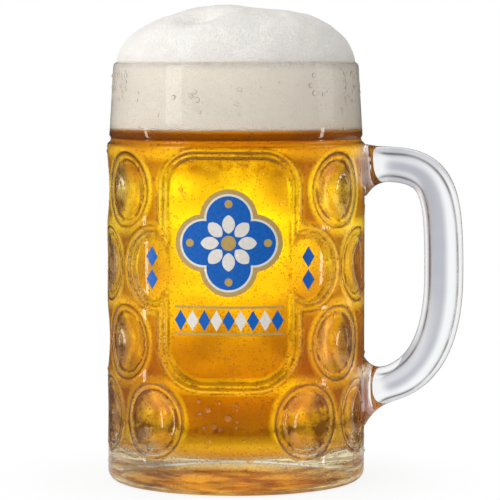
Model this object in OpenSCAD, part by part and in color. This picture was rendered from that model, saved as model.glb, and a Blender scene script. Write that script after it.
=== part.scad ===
// One-litre dimpled beer mug: pressed glass body, applied glass handle,
// beer, foam head and a fired-on enamel print in three inks.
// Millimetres. The mug stands on z = 0 with its axis on Z, its front panel
// faces -Y and its handle points along +X.

/* [Glass body] */
// Height of the rim above the table
rim_height = 185; // [150:1:225]
// Outside diameter over the ridges between the dimples
body_diameter = 114; // [94:0.5:138]
// How far the rim lies inside the ridges
rim_inset = 2.8; // [1.5:0.1:5]
// How far the foot of the rim band lies inside the ridges
band_inset = 1; // [0.5:0.1:1.4]
// Height of the plain rim band above the shoulder groove
band_height = 33.5; // [26:0.5:42]
// Depth of the shoulder groove below the foot of the band
groove_depth = 0.7; // [0.3:0.1:1.5]
// Thickness of the wall at the rim
rim_wall = 4.2; // [3:0.1:6]
// Thickness of the wall at the floor, measured to the ridges
base_wall = 11.5; // [8:0.1:14]
// Thickness of the glass floor
floor_thickness = 14; // [11:0.5:20]
// Fillet between the inside wall and the floor
floor_fillet = 10; // [6:0.5:16]
// Radius of the outer base corner
base_corner = 4.5; // [3:0.5:8]
// Width of the flat ring that the mug stands on
foot_ring = 7; // [4:0.5:12]
// Rise of the domed hollow inside the foot ring
foot_hollow = 7; // [2:0.1:8]

/* [Dimples] */
// Rows of dimples
dimple_rows = 4; // [3:1:5]
// Dimple places round one row
dimples_per_row = 10; // [9:1:12]
// Height of the plain band under the lowest row
base_band = 14.5; // [9:0.5:18]
// Plain height between the top row and the shoulder groove
shoulder_band = 4.9; // [3:0.1:8]
// Ridge between two dimples of one row
ridge_width = 4.4; // [1:0.1:6]
// Depth of the bowl at its centre
bowl_depth = 4.2; // [2:0.1:4.6]
// Depth that the sloping rim of a dimple would reach without its bowl
slope_depth = 2.4; // [1:0.1:2.8]
// Share of a dimple that the bowl would fill without the sloping rim
bowl_share = 0.8; // [0.7:0.01:0.95]

/* [Front panel] */
// Depth of the panel below the ridges
panel_depth = 1.8; // [0.8:0.1:2.6]
// Width of the step round the panel
panel_step = 2.2; // [1:0.1:4]
// Depth of that step below the ridges
step_depth = 0.8; // [0.3:0.1:1.4]
// Ridge between the step and the dimples beside it
panel_ridge = 7.5; // [3:0.1:9]
// How far the panel reaches down between the dimples of the lowest row
panel_dip = 1.4; // [0:0.1:4]
// Radius of the step's upper corners
panel_top_corner = 15; // [8:0.5:20]
// Radius of the step's lower corners
panel_foot_corner = 18; // [8:0.5:20]

/* [Handle] */
// From the wall to the middle of the grip
handle_reach = 35.1; // [28:0.1:48]
// From the shoulder groove down to the top of the upper pad
handle_drop = 2.6; // [0.2:0.1:12]
// Height of the middle of the lower arm where it meets the wall
handle_foot = 41; // [34:0.5:48]
// Thickness of the grip, towards the fingers
grip_thickness = 17.2; // [12:0.1:20]
// Width of the grip, across the hand
grip_width = 19; // [14:0.5:23]
// Thickness of the arms where they leave the pads
arm_thickness = 15.4; // [11:0.1:18]
// Width of the arms where they leave the pads
arm_width = 15.5; // [12:0.1:19]
// How far the upper pad spreads up the wall above its arm
upper_pad_rise = 1.8; // [1:0.1:6]
// How far the lower pad spreads down the wall below its arm
lower_pad_drop = 9.6; // [3:0.1:12]
// How far both pads spread along the wall into the finger gap
inner_pad_spread = 6; // [4:0.1:13]
// How far both pads spread along the wall to each side
side_pad_spread = 3; // [1:0.1:4]
// Length of the flare from the wall to the arm
pad_flare = 15; // [6:0.5:18]
// Plain wall left beside the pads
land_margin = 1.3; // [0.5:0.1:4]

/* [Beer and foam] */
// How far the foam reaches down below the rim
foam_depth = 28.8; // [10:0.1:45]
// How far the foam dome stands above the rim
foam_rise = 25.6; // [5:0.1:40]
// How far the foam laps outwards over the crest of the lip
foam_lap = 0.7; // [0:0.1:1.2]
// Fullness of the dome: 2 is an ellipse, more is squarer
foam_fullness = 2.1; // [1.8:0.1:3]

/* [Print] */
// Thickness of the fired enamel
ink_thickness = 0.2; // [0.1:0.05:0.4]
// Bare panel to each side of the emblem
emblem_margin = 4; // [2:0.1:8]
// Height of the emblem's middle above the middle of the panel
emblem_lift = 12; // [6:0.5:14]
// Share of the emblem's half width at which its four lobes are centred
lobe_share = 0.46; // [0.42:0.01:0.5]
// Width of the gold border
gold_border = 2; // [1:0.1:2.5]
// Width of the white line inside the border
white_line = 0.9; // [0.5:0.1:1.4]
// Blue left between the rosette and the white line
rosette_margin = 1.3; // [0.6:0.1:2]
// Petals of the rosette
petals = 8; // [6:1:10]
// Blue left between the petals, and round the eye
petal_gap = 0.9; // [0.5:0.1:1.5]
// Radius of the gold eye
eye_radius = 3.2; // [2:0.1:4]
// Radius of the gold dot in each lobe
dot_radius = 1.7; // [0.8:0.1:2.4]
// Lozenges in the frieze below the emblem
frieze_count = 9; // [5:2:11]
// Bare panel to each side of the frieze
frieze_margin = 3.6; // [3:0.1:10]
// Height of one lozenge
lozenge_height = 9; // [6:0.1:11]
// Gap between the emblem's lowest edge and the frieze's upper rule
frieze_gap = 4; // [2:0.1:7]
// Width of the gold rules above and below the frieze
rule_width = 0.9; // [0.5:0.1:1.5]
// Gap between a rule and the lozenges, and between lozenges that stand in a column
lozenge_gap = 0.8; // [0.4:0.1:2]
// Lozenges in the column on each side lobe of the panel
column_count = 2; // [1:1:2]

/* [Hidden] */
$fn = 96;
cut = 1;
arc_steps = 8;
oval_steps = 48;
dome_steps = 20;
handle_steps = 28;
bar_sides = 28;
bar_squareness = 2.3;
flare_power = 3.4;

// Radii and heights of the glass
body_r = body_diameter / 2;
rim_r = body_r - rim_inset;
mouth_r = rim_r - rim_wall;
floor_r = body_r - base_wall;
band_r = body_r - band_inset;
lip_r = rim_wall / 2;
lip_z = rim_height - lip_r;
shoulder = rim_height - band_height;
groove_r = band_r - groove_depth;
groove_half = 2 * groove_depth;
shoulder_round = body_r - groove_r;
foot_out_r = body_r - base_corner;
foot_in_r = foot_out_r - foot_ring;
dome_r = (pow(foot_in_r, 2) + pow(foot_hollow, 2)) / (2 * foot_hollow);
dome_angle = asin(foot_in_r / dome_r);
shoulder_sweep = 75;

// Layout of the dimples, from the plain bands above and below them
zone_top = shoulder - shoulder_band;
row_pitch = (zone_top - base_band) / dimple_rows;
place_angle = 360 / dimples_per_row;
dimple_half_w = PI * body_r / dimples_per_row - ridge_width / 2;
dimple_half_h = row_pitch / 2;
dimple_reach = max(dimple_half_w, dimple_half_h) + ridge_width / 3;
slice_margin = 1.5;
slice_facets = 720;
least_bend = 0.0002;
handle_angle = 90;
near_angle = place_angle / 4;
land_half_w = arm_width / 2 + side_pad_spread + land_margin;

// Front panel, which takes the place of the rows above the lowest one
panel_half_angle = 1.5 * place_angle - (dimple_half_w + panel_ridge) / body_r * 180 / PI;
step_half_w = body_r * sin(panel_half_angle);
step_bottom = base_band + row_pitch - panel_dip;
step_top = zone_top;
panel_half_w = step_half_w - panel_step;
panel_middle = (step_top + step_bottom) / 2;
panel_r = body_r - panel_depth;
lobe_row = dimple_rows - 2;
lobe_z = base_band + (lobe_row + 0.5) * row_pitch;
lobe_u = body_r * sin(place_angle);
lobe_half_w = body_r * sin(place_angle + dimple_half_w / body_r * 180 / PI) - lobe_u;

// Handle line, from the upper pad round the grip to the lower pad; the pulls say how far
// towards its outer corners each half is drawn, as shares of its reach and its height
grip_share = 0.51;
top_pull = 0.93;
top_bow = 0.09;
grip_pull_up = 0.89;
grip_pull_down = 1.03;
foot_pull = 0.2;
pad_bury = 4;
handle_top = shoulder - handle_drop - upper_pad_rise - arm_thickness / 2;
grip_x = body_r + handle_reach;
grip_z = handle_foot + grip_share * (handle_top - handle_foot);
upper_line = [
    [body_r - pad_bury, handle_top],
    [body_r + top_pull * handle_reach, handle_top + top_bow * handle_reach],
    [grip_x, grip_z + grip_pull_up * (handle_top - grip_z)],
    [grip_x, grip_z]
];
lower_line = [
    [grip_x, grip_z],
    [grip_x, grip_z - grip_pull_down * (grip_z - handle_foot)],
    [body_r + foot_pull * handle_reach, handle_foot],
    [body_r - pad_bury, handle_foot]
];

// Beer line, and the angle on the lip where the foam ends
beer_line = rim_height - foam_depth;
foam_edge_angle = acos(foam_lap / lip_r);

// Emblem and frieze, fitted to the panel and measured from its middle
emblem_half_w = panel_half_w - emblem_margin;
lobe_offset = lobe_share * emblem_half_w;
core_width = 1.5 * lobe_offset;
gold_lobe_r = emblem_half_w - lobe_offset;
white_lobe_r = gold_lobe_r - gold_border;
blue_lobe_r = white_lobe_r - white_line;
notch_r = (lobe_offset + sqrt(2 * pow(blue_lobe_r, 2) - pow(lobe_offset, 2))) / sqrt(2);
petal_start = eye_radius + petal_gap;
petal_length = notch_r - rosette_margin - petal_start;
petal_width = 2 * PI * (petal_start + petal_length / 2) / petals - petal_gap;
dot_offset = (notch_r + lobe_offset + blue_lobe_r) / 2;
frieze_half_w = panel_half_w - frieze_margin;
lozenge_width = 2 * frieze_half_w / frieze_count;
rule_v = lozenge_height / 2 + lozenge_gap;
frieze_v = emblem_lift - emblem_half_w - frieze_gap - rule_width - rule_v;
column_v = lobe_z - panel_middle;

// Points of an arc about (x, y), from one angle to another
function arc(x, y, r, from, to) =
    [for (i = [0:arc_steps]) let (a = from + (to - from) * i / arc_steps) [x + r * cos(a), y + r * sin(a)]];

// Points round an oval about (x, y)
function oval(x, y, half_w, half_h) =
    [for (i = [1:oval_steps]) let (a = 360 * i / oval_steps) [x + half_w * cos(a), y + half_h * sin(a)]];

// Point of a cubic curve through its first and last control points
function cubic(p, t) =
    pow(1 - t, 3) * p[0] + 3 * pow(1 - t, 2) * t * p[1] + 3 * (1 - t) * t * t * p[2] + pow(t, 3) * p[3];

function reverse(list) = [for (i = [len(list) - 1:-1:0]) list[i]];

// Radius of the inside wall at a height
function wall_r(z) = floor_r + (mouth_r - floor_r) * (z - floor_thickness) / (lip_z - floor_thickness);

// Inside of the glass from the axis, over the floor and up the wall to a height
function inside_line(top) = let (start = floor_thickness + floor_fillet) concat(
    [[0, floor_thickness]],
    arc(wall_r(start) - floor_fillet, start, floor_fillet, -90, 0),
    [[wall_r(top), top]]
);

// Outside of the glass from the axis, under the foot and up to the foot of the rim band
function outside_line() = concat(
    arc(0, foot_hollow - dome_r, dome_r, 90, 90 - dome_angle),
    arc(foot_out_r, base_corner, base_corner, -90, 0),
    arc(body_r - shoulder_round, shoulder - groove_half - shoulder_round, shoulder_round, 0, shoulder_sweep),
    [[groove_r, shoulder], [band_r, shoulder + groove_half]]
);

module revolve(points) {
    rotate_extrude() polygon(points);
}

// Puts a radial feature, drawn along +X, at an angle round the mug from its front
module at_place(angle, height) {
    rotate([0, 0, angle - 90]) translate([0, 0, height]) children();
}

// Barrel-shaped slice that sinks to a depth in the wall and comes out of it at half_w and half_h;
// one that would be flat across keeps the least bend
module barrel(half_w, half_h, depth) {
    bend = 2 * depth / pow(half_w, 2) - 1 / body_r;
    across_r = 1 / (abs(bend) < least_bend ? least_bend : bend);
    along_r = pow(half_h, 2) / (2 * depth);
    slice = depth + pow(half_w, 2) / body_r;
    half_turn = slice_margin * asin(half_w / across_r);
    translate([body_r - depth + across_r, 0, 0])
        rotate([0, 0, 180 - half_turn])
            rotate_extrude(angle = 2 * half_turn, $fn = slice_facets) intersection() {
                translate([across_r - along_r, 0]) circle(along_r);
                translate([across_r - slice, -along_r]) square([2 * slice, 2 * along_r]);
            }
}

// One dimple: a sloping rim with a deeper bowl inside it
module dimple() {
    intersection() {
        union() {
            barrel(dimple_half_w, dimple_half_h, slope_depth);
            barrel(bowl_share * dimple_half_w, bowl_share * dimple_half_h, bowl_depth);
        }
        translate([body_r - 2 * bowl_depth, 0, 0]) rotate([0, 90, 0])
            cylinder(r = dimple_reach, h = 4 * bowl_depth);
    }
}

// True where the front panel or the handle's strip of plain wall takes a dimple's place
function place_taken(row, angle) =
    abs(angle) < near_angle
    || (row > 0 && abs(angle) < place_angle + near_angle)
    || abs(angle - handle_angle) < near_angle;

// Every other row is turned by half a place, counted so that a place on the lobe row faces front
function row_turn(row) = (row - lobe_row) % 2 == 0 ? 0 : place_angle / 2;

// All dimples, those beside the handle cut off along its strip of plain wall
module dimples() {
    for (row = [0:dimple_rows - 1], i = [0:dimples_per_row - 1]) {
        turn = row_turn(row) + i * place_angle;
        angle = turn > 180 ? turn - 360 : turn;
        if (!place_taken(row, angle)) difference() {
            at_place(angle, base_band + (row + 0.5) * row_pitch) dimple();
            if (abs(angle - handle_angle) < place_angle)
                translate([0, -land_half_w, 0]) cube([2 * body_r, 2 * land_half_w, rim_height]);
        }
    }
}

// Outline of the panel's step as seen from the front, with a lobe to each side, drawn in by an inset
module panel_outline(inset) {
    half_w = step_half_w - inset;
    top_r = panel_top_corner - inset;
    foot_r = panel_foot_corner - inset;
    bottom = step_bottom + inset;
    top = step_top - inset;
    polygon(concat(
        arc(half_w - foot_r, bottom + foot_r, foot_r, -90, 0),
        arc(half_w - top_r, top - top_r, top_r, 0, 90),
        arc(top_r - half_w, top - top_r, top_r, 90, 180),
        arc(foot_r - half_w, bottom + foot_r, foot_r, 180, 270)
    ));
    for (side = [-1, 1])
        polygon(oval(side * lobe_u, lobe_z, lobe_half_w - inset, dimple_half_h - inset));
}

// Glass taken out of the wall for the panel, down to a radius
module panel_recess(inset, radius) {
    difference() {
        rotate([90, 0, 0]) linear_extrude(2 * body_r) panel_outline(inset);
        cylinder(r = radius, h = rim_height);
    }
}

module glass_body() {
    color([0.86, 0.91, 0.92, 0.35]) difference() {
        revolve(concat(
            outside_line(),
            arc(mouth_r + lip_r, lip_z, lip_r, 0, 180),
            reverse(inside_line(lip_z))
        ));
        dimples();
        panel_recess(0, body_r - step_depth);
        panel_recess(panel_step, panel_r);
    }
}

// Ring of points square to the handle's line, flared into a pad near the wall;
// outer_spread is how far that pad spreads on the side away from the finger gap
function bar_ring(at, along, thickness, width, outer_spread) = let (
    flare = pow(max(0, 1 - max(0, at[0] - body_r) / pad_flare), flare_power),
    across = [-along[1], along[0]] / norm(along)
) [for (i = [0:bar_sides - 1]) let (
    a = 360 * i / bar_sides,
    reach = thickness / 2 + flare * (cos(a) > 0 ? outer_spread : inner_pad_spread),
    u = sign(cos(a)) * pow(abs(cos(a)), 2 / bar_squareness) * reach,
    v = sign(sin(a)) * pow(abs(sin(a)), 2 / bar_squareness) * (width / 2 + flare * side_pad_spread)
) [at[0] + across[0] * u, v, at[1] + across[1] * u]];

// Rings along one half of the handle, eased between arm size (0) and grip size (1)
function bar_rings(line, last, size_from, size_to, outer_spread) = [for (i = [0:last]) let (
    t = i / handle_steps,
    step = 0.5 / handle_steps,
    size = size_from + (size_to - size_from) * t,
    ease = size * size * (3 - 2 * size)
) bar_ring(
    cubic(line, t),
    cubic(line, min(1, t + step)) - cubic(line, max(0, t - step)),
    arm_thickness + (grip_thickness - arm_thickness) * ease,
    arm_width + (grip_width - arm_width) * ease,
    outer_spread
)];

// Closed skin through rings of equally many points
module loft(rings) {
    sides = len(rings[0]);
    last = (len(rings) - 1) * sides;
    polyhedron(
        points = [for (ring = rings) each ring],
        faces = concat(
            [[for (i = [sides - 1:-1:0]) i]],
            [for (k = [0:len(rings) - 2], i = [0:sides - 1]) let (
                a = k * sides + i,
                b = k * sides + (i + 1) % sides
            ) each [[a, b, b + sides], [a, b + sides, a + sides]]],
            [[for (i = [0:sides - 1]) last + i]]
        )
    );
}

// Bar whose pads are cut to the outside of the body
module handle() {
    color([0.90, 0.93, 0.95, 0.35]) difference() {
        loft(concat(
            bar_rings(upper_line, handle_steps - 1, 0, 1, upper_pad_rise),
            bar_rings(lower_line, handle_steps, 1, 0, lower_pad_drop)
        ));
        revolve(concat(outside_line(), [[rim_r, lip_z], [0, lip_z]]));
    }
}

module beer() {
    color([0.96, 0.68, 0.06, 0.8]) revolve(concat(inside_line(beer_line), [[0, beer_line]]));
}

// Dome of the foam, from its edge on the lip to its crown
function dome_line() = let (
    edge_r = mouth_r + lip_r + foam_lap,
    edge_z = lip_z + lip_r * sin(foam_edge_angle)
) [for (i = [1:dome_steps]) let (a = 90 * i / dome_steps) [
    edge_r * pow(cos(a), 2 / foam_fullness),
    edge_z + (rim_height + foam_rise - edge_z) * pow(sin(a), 2 / foam_fullness)
]];

module foam_head() {
    color([0.97, 0.95, 0.91]) revolve(concat(
        [[0, beer_line], [wall_r(beer_line), beer_line]],
        arc(mouth_r + lip_r, lip_z, lip_r, 180, foam_edge_angle),
        dome_line()
    ));
}

// Wraps a flat drawing, made round the panel's middle, onto the panel as a coat of ink
module ink() {
    intersection() {
        translate([0, 0, panel_middle]) rotate([90, 0, 0]) linear_extrude(2 * body_r) children();
        difference() {
            cylinder(r = panel_r + ink_thickness, h = rim_height);
            translate([0, 0, -cut]) cylinder(r = panel_r, h = rim_height + 2 * cut);
        }
    }
}

module four_lobes(radius) {
    square(core_width, center = true);
    for (quarter = [0:3]) rotate(90 * quarter) translate([lobe_offset, 0]) circle(radius);
}

// Pointed leaf between two equal arcs
module petal() {
    swing_r = (pow(petal_length, 2) + pow(petal_width, 2)) / (4 * petal_width);
    intersection() {
        translate([0, petal_width / 2 - swing_r]) circle(swing_r);
        translate([0, swing_r - petal_width / 2]) circle(swing_r);
    }
}

module rosette() {
    for (i = [0:petals - 1]) rotate(360 * i / petals)
        translate([petal_start + petal_length / 2, 0]) petal();
}

// Gold parts inside the blue field: the eye and a dot in each lobe
module gold_spots() {
    circle(eye_radius);
    for (quarter = [0:3]) rotate(90 * quarter) translate([dot_offset, 0]) circle(dot_radius);
}

module lozenge() {
    polygon([
        [lozenge_width / 2, 0], [0, lozenge_height / 2],
        [-lozenge_width / 2, 0], [0, -lozenge_height / 2]
    ]);
}

// Every second lozenge of the frieze, counted from the first or the second
module frieze(start) {
    for (i = [start:2:frieze_count - 1])
        translate([(i + 0.5) * lozenge_width - frieze_half_w, frieze_v]) lozenge();
}

module columns() {
    for (side = [-1, 1], i = [0:column_count - 1])
        translate([
            side * lobe_u,
            column_v + (i - (column_count - 1) / 2) * (lozenge_height + lozenge_gap)
        ]) lozenge();
}

module print_blue() {
    color([0.02, 0.20, 0.55]) ink() {
        translate([0, emblem_lift]) difference() {
            four_lobes(blue_lobe_r);
            rosette();
            gold_spots();
        }
        frieze(0);
        columns();
    }
}

module print_white() {
    color([0.95, 0.93, 0.89]) ink() {
        translate([0, emblem_lift]) {
            rosette();
            difference() {
                four_lobes(white_lobe_r);
                four_lobes(blue_lobe_r);
            }
        }
        frieze(1);
    }
}

module print_gold() {
    color([0.80, 0.60, 0.22]) ink() {
        translate([0, emblem_lift]) {
            gold_spots();
            difference() {
                four_lobes(gold_lobe_r);
                four_lobes(white_lobe_r);
            }
        }
        for (v = [frieze_v + rule_v, frieze_v - rule_v - rule_width])
            translate([-frieze_half_w, v]) square([2 * frieze_half_w, rule_width]);
    }
}

glass_body();
handle();
beer();
foam_head();
print_blue();
print_white();
print_gold();
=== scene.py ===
import math
import random

import bmesh
import bpy
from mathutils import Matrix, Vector, noise


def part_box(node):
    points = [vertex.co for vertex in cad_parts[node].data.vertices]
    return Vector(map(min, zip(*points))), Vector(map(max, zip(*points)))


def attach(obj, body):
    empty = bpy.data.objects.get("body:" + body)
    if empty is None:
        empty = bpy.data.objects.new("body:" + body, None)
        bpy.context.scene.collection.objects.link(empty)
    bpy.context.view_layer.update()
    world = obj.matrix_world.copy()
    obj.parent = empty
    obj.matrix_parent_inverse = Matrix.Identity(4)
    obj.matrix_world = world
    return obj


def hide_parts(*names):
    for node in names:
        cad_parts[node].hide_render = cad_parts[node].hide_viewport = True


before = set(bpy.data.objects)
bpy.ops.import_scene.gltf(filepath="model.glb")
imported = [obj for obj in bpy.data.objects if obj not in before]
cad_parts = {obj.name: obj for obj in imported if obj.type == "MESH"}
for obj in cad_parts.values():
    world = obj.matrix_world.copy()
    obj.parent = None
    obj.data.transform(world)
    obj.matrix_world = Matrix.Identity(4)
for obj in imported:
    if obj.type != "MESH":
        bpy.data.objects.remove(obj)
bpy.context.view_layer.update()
mm = 0.001
doubles = 1e-6  # points closer than this are one
print("frame loaded:", ", ".join(sorted(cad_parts)))

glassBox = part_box("glass_body")
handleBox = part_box("handle")
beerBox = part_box("beer")
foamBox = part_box("foam_head")
bodyRadius = (glassBox[1].x - glassBox[0].x) / 2
rimHeight = glassBox[1].z
beerLine = beerBox[1].z
floorHeight = beerBox[0].z


class Wire:  # one socket of a node tree; sums on it add Math nodes
    def __init__(self, tree, socket=None):
        self.tree = tree
        self.socket = socket

    def feed(self, target, sockets):
        for key, value in sockets.items():
            if isinstance(value, Wire):
                self.tree.links.new(value.socket, target.inputs[key])
            else:
                target.inputs[key].default_value = value

    def node(self, kind, settings=None, sockets=None, output=0):
        made = self.tree.nodes.new(kind)
        for name, value in (settings or {}).items():
            if name == "stops":
                self.setStops(made.color_ramp, value)
            elif name == "heights":
                self.setHeights(made.mapping, value)
            else:
                setattr(made, name, value)
        self.feed(made, sockets or {})
        return Wire(self.tree, made.outputs[output])

    def setStops(self, ramp, stops):
        while len(ramp.elements) < len(stops):
            ramp.elements.new(0.5)
        for element, (place, colour) in zip(ramp.elements, stops):
            element.position = place
            element.color = colour

    def setHeights(self, mapping, heights):  # levels at angles above the horizon
        curve = mapping.curves[0]
        while len(curve.points) < len(heights) + 2:
            curve.points.new(0.5, 0.5)
        ends = [(-90, heights[0][1]), *heights, (90, heights[-1][1])]
        for point, (angle, level) in zip(curve.points, ends):
            point.location = (math.sin(math.radians(angle)) * 0.5 + 0.5, level)
            point.handle_type = "VECTOR"
        mapping.update()

    def also(self, output):  # another output of the same node
        return Wire(self.tree, self.socket.node.outputs[output])

    def math(self, operation, *values):
        return self.node("ShaderNodeMath", {"operation": operation}, dict(enumerate(values)))

    def __add__(self, other):
        return self.math("ADD", self, other)

    def __sub__(self, other):
        return self.math("SUBTRACT", self, other)

    def __rsub__(self, other):
        return self.math("SUBTRACT", other, self)

    def __mul__(self, other):
        return self.math("MULTIPLY", self, other)

    def __truediv__(self, other):
        return self.math("DIVIDE", self, other)

    def __rtruediv__(self, other):
        return self.math("DIVIDE", other, self)

    def __abs__(self):
        return self.math("ABSOLUTE", self)

    def __lt__(self, other):
        return self.math("LESS_THAN", self, other)

    def __gt__(self, other):
        return self.math("GREATER_THAN", self, other)

    __radd__ = __add__
    __rmul__ = __mul__

    def rise(self, low, high):  # 0 below low, 1 above high, eased between
        sockets = {"Value": self, "From Min": low, "From Max": high}
        return self.node("ShaderNodeMapRange", {"interpolation_type": "SMOOTHSTEP"}, sockets)


def root(wire):
    return wire.math("SQRT", wire)


def larger(one, other, *blend):  # eased over a distance where one is given
    return one.math("SMOOTH_MAX" if blend else "MAXIMUM", one, other, *blend)


def smaller(one, other, *blend):
    return one.math("SMOOTH_MIN" if blend else "MINIMUM", one, other, *blend)


def split(place):  # a vector into x, y and z
    x = place.node("ShaderNodeSeparateXYZ", None, {"Vector": place}, output="X")
    return x, x.also("Y"), x.also("Z")


def joined(x, y, z):
    return x.node("ShaderNodeCombineXYZ", None, {"X": x, "Y": y, "Z": z})


def dot(one, other):
    product = one.node("ShaderNodeVectorMath", {"operation": "DOT_PRODUCT"}, {0: one, 1: other})
    return product.also("Value")


# A geometry tree with one named input for each size
def startTree(name, sizes):
    tree = bpy.data.node_groups.new(name, "GeometryNodeTree")
    tree.interface.new_socket("Geometry", in_out="INPUT", socket_type="NodeSocketGeometry")
    for label in sizes:
        tree.interface.new_socket(label, in_out="INPUT", socket_type="NodeSocketFloat")
    tree.interface.new_socket("Geometry", in_out="OUTPUT", socket_type="NodeSocketGeometry")
    entry = tree.nodes.new("NodeGroupInput")
    wires = {socket.name: Wire(tree, socket) for socket in entry.outputs if socket.name}
    return tree, wires


def passOn(geometry, kind, **sockets):  # a node with a geometry in and out
    return geometry.node("GeometryNode" + kind, None, {"Geometry": geometry, **sockets})


def endTree(geometry, material, inside=None):
    whole = passOn(geometry, "RealizeInstances")
    smooth = passOn(whole, "SetShadeSmooth")
    coated = passOn(smooth, "SetMaterial", Material=material)
    if inside:
        coated = passOn(coated, "SetMaterial", Selection=inside[0], Material=inside[1])
    leave = geometry.tree.nodes.new("NodeGroupOutput")
    coated.feed(leave, {0: coated})


# Keeps what a piece's modifier makes as its plain mesh
def keepResult(piece, modifier):
    made = bpy.data.meshes.new_from_object(piece.evaluated_get(bpy.context.evaluated_depsgraph_get()))
    piece.modifiers.remove(modifier)
    piece.data = made
    return made


def growMesh(piece, tree, sizes):
    modifier = piece.modifiers.new(tree.name, "NODES")
    modifier.node_group = tree
    for item in tree.interface.items_tree:
        if item.in_out == "INPUT" and item.name in sizes:
            modifier[item.identifier] = float(sizes[item.name])
    grown = keepResult(piece, modifier)
    grown.name = piece.name
    print(piece.name, "grown:", len(grown.polygons), "faces")


def newPiece(name, mesh):
    piece = bpy.data.objects.new(name, mesh)
    bpy.context.scene.collection.objects.link(piece)
    return piece


def shadeSmooth(shape, sharpAngle):  # in degrees
    for face in shape.faces:
        face.smooth = True
    for edge in shape.edges:
        edge.smooth = len(edge.link_faces) == 2 and edge.calc_face_angle() < math.radians(sharpAngle)


def meshFrom(name, build, sharpAngle=180):
    shape = bmesh.new()
    build(shape)
    bmesh.ops.remove_doubles(shape, verts=shape.verts, dist=doubles)
    bmesh.ops.recalc_face_normals(shape, faces=shape.faces)
    shadeSmooth(shape, sharpAngle)
    mesh = bpy.data.meshes.new(name)
    shape.to_mesh(mesh)
    shape.free()
    return mesh


# Skin through rings of equally many points; the first and last ring are closed by a face each
def skinRings(shape, rings, closed=True):
    rows = [[shape.verts.new(point) for point in ring] for ring in rings]
    for one, other in zip(rows, rows[1:]):
        count = len(one)
        for i in range(count):
            j = (i + 1) % count
            shape.faces.new((one[i], one[j], other[j], other[i]))
    if closed:
        shape.faces.new(reversed(rows[0]))
        shape.faces.new(rows[-1])


def turned(profile, segments):
    rings = []
    for radius, height in profile:
        steps = [2 * math.pi * i / segments for i in range(segments)]
        rings.append([(radius * math.cos(a), radius * math.sin(a), height) for a in steps])
    return rings


def lineTo(start, end, steps):
    return [
        (start[0] + (end[0] - start[0]) * i / steps, start[1] + (end[1] - start[1]) * i / steps)
        for i in range(1, steps + 1)
    ]


def arcRound(centre, radius, fromAngle, toAngle, steps):
    points = []
    for i in range(steps + 1):
        angle = math.radians(fromAngle + (toAngle - fromAngle) * i / steps)
        points.append((centre[0] + radius * math.cos(angle), centre[1] + radius * math.sin(angle)))
    return points


def newMaterial(name):
    material = bpy.data.materials.new(name)
    material.use_nodes = True
    shader = material.node_tree.nodes["Principled BSDF"]
    wire = Wire(material.node_tree)
    place = wire.node("ShaderNodeTexCoord", output="Object")
    return material, shader, wire, place


def noiseAt(place, scale, detail=3.0, rough=0.5):
    sockets = {"Vector": place, "Scale": scale, "Detail": detail, "Roughness": rough}
    return place.node("ShaderNodeTexNoise", None, sockets)


def bumpFrom(height, strength, distance, under=None):
    sockets = {"Height": height, "Strength": strength, "Distance": distance}
    if under:
        sockets["Normal"] = under
    return height.node("ShaderNodeBump", None, sockets)


def blendColours(factor, first, second):
    sockets = {"Factor": factor, 6: first, 7: second}  # 6 and 7 are its colour sockets
    return factor.node("ShaderNodeMix", {"data_type": "RGBA"}, sockets, output=2)


def ramp(share, stops):
    return share.node("ShaderNodeValToRGB", {"stops": stops}, {"Fac": share})


# Anything clear: glass, beer, water and the film of a bubble
def clearShader(wire, shader, bend, colour=(1, 1, 1, 1), rough=0.0, **more):
    sockets = {"Base Color": colour, "IOR": bend, "Transmission Weight": 1.0, "Roughness": rough}
    wire.feed(shader, {**sockets, **more})


# Pressed glass body: a turned profile with dimples and a front panel pressed into its outside
wallForm = dict(
    segments=400,
    footIn=45.5 * mm,
    footOut=52.5 * mm,
    footHollow=9.6 * mm,
    baseCorner=4.5 * mm,
    shoulder=rimHeight - 33.5 * mm,
    grooveRadius=bodyRadius - 1.7 * mm,
    grooveHalf=1.4 * mm,
    shoulderRound=1.7 * mm,
    bandRadius=bodyRadius - 1 * mm,
    rimRadius=bodyRadius - 2.8 * mm,
    lipRadius=2.1 * mm,
    mouthRadius=bodyRadius - 7 * mm,
    floorRadius=bodyRadius - 11.5 * mm,
    floorFillet=10 * mm,
    wallStep=0.76 * mm,
    outerShare=0.92,
    innerShare=0.9,
    wetFrom=0.8,
    waveScale=45.0,
    calmFrom=(1.5 * mm, 1.7 * mm),
)
lipHeight = rimHeight - wallForm["lipRadius"]


def innerRadius(height):  # inside wall at a height
    share = (height - floorHeight) / (lipHeight - floorHeight)
    return wallForm["floorRadius"] + (wallForm["mouthRadius"] - wallForm["floorRadius"]) * share


# Outside from the axis, under the foot and up to the foot of the rim band
def outsideLine():
    f = wallForm
    domeRadius = (f["footIn"] ** 2 + f["footHollow"] ** 2) / (2 * f["footHollow"])
    domeAngle = math.degrees(math.asin(f["footIn"] / domeRadius))
    corner = f["baseCorner"]
    roundHeight = f["shoulder"] - f["grooveHalf"] - f["shoulderRound"]
    wallSteps = round((roundHeight - corner) / f["wallStep"])
    line = arcRound((0, f["footHollow"] - domeRadius), domeRadius, 90, 90 - domeAngle, 8)
    line += lineTo((f["footIn"], 0), (f["footOut"], 0), 2)[:-1]
    line += arcRound((f["footOut"], corner), corner, -90, 0, 6)
    line += lineTo((bodyRadius, corner), (bodyRadius, roundHeight), wallSteps)[:-1]
    line += arcRound((bodyRadius - f["shoulderRound"], roundHeight), f["shoulderRound"], 0, 75, 6)
    grooveFoot = line[-1]
    line += lineTo(grooveFoot, (f["grooveRadius"], f["shoulder"]), 2)
    line += lineTo(line[-1], (f["bandRadius"], f["shoulder"] + f["grooveHalf"]), 3)
    return line


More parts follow.
